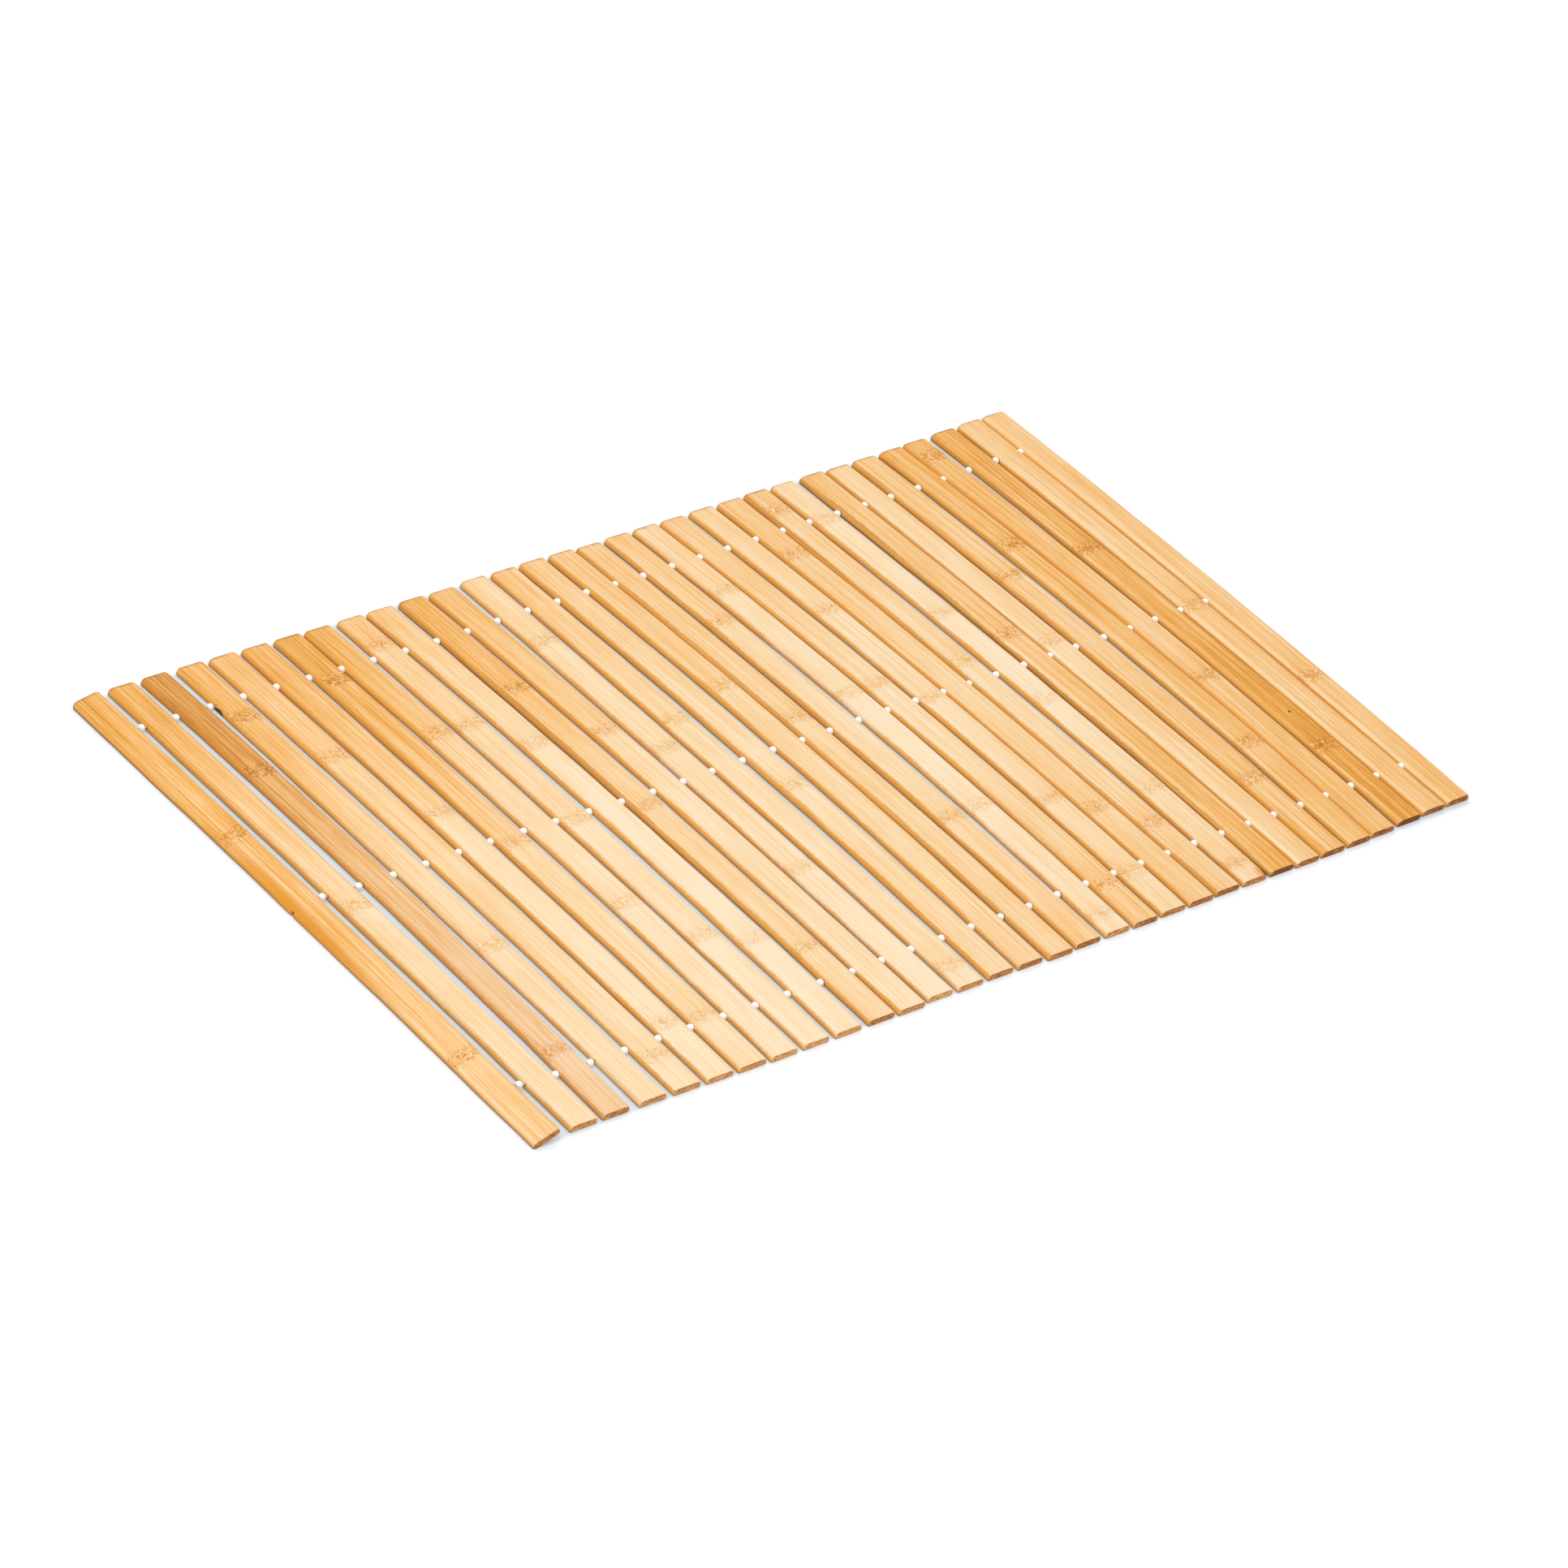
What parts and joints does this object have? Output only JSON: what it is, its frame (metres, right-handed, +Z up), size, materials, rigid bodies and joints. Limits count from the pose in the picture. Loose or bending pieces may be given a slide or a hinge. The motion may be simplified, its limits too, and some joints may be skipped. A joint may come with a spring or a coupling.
{
  "type": "bamboo mat",
  "caption": "Flat slatted bamboo mat: round-edged slats lying side by side, strung on cords with a white bead in each gap; the first slat is tipped.",
  "frame": {"origin": "on the floor, under the middle of the mat's outline", "axes": "+X along the mat, across the slats, with the tipped slat at the -X end; +Y along the slats; +Z up"},
  "size_m": [0.8052, 0.5096, 0.0096],
  "materials": {
    "bamboo_pale": "pale cream bamboo, fine straight grain, clear satin lacquer",
    "bamboo_honey": "honey bamboo, fine straight grain, clear satin lacquer",
    "bamboo_golden": "golden amber bamboo, fine straight grain, clear satin lacquer",
    "bamboo_russet": "reddish brown bamboo paling to the front, fine straight grain, clear satin lacquer",
    "bead_white": "glossy white beads on a white cord"
  },
  "bodies": {
    "root": {"slat_01": "bamboo_golden", "slat_02": "bamboo_honey", "slat_03": "bamboo_russet", "slat_04": "bamboo_pale", "slat_05": "bamboo_honey", "slat_06": "bamboo_honey", "slat_07": "bamboo_honey", "slat_08": "bamboo_honey", "slat_09": "bamboo_pale", "slat_10": "bamboo_honey", "slat_11": "bamboo_honey", "slat_12": "bamboo_honey", "slat_13": "bamboo_pale", "slat_14": "bamboo_pale", "slat_15": "bamboo_honey", "slat_16": "bamboo_honey", "slat_17": "bamboo_honey", "slat_18": "bamboo_honey", "slat_19": "bamboo_pale", "slat_20": "bamboo_honey", "slat_21": "bamboo_pale", "slat_22": "bamboo_honey", "slat_23": "bamboo_honey", "slat_24": "bamboo_pale", "slat_25": "bamboo_honey", "slat_26": "bamboo_honey", "slat_27": "bamboo_honey", "slat_28": "bamboo_honey", "slat_29": "bamboo_honey", "slat_30": "bamboo_golden", "slat_31": "bamboo_honey", "slat_32": "bamboo_honey", "beaded_cord_back": "bead_white", "beaded_cord_middle": "bead_white", "beaded_cord_front": "bead_white"}
  },
  "joints": []
}
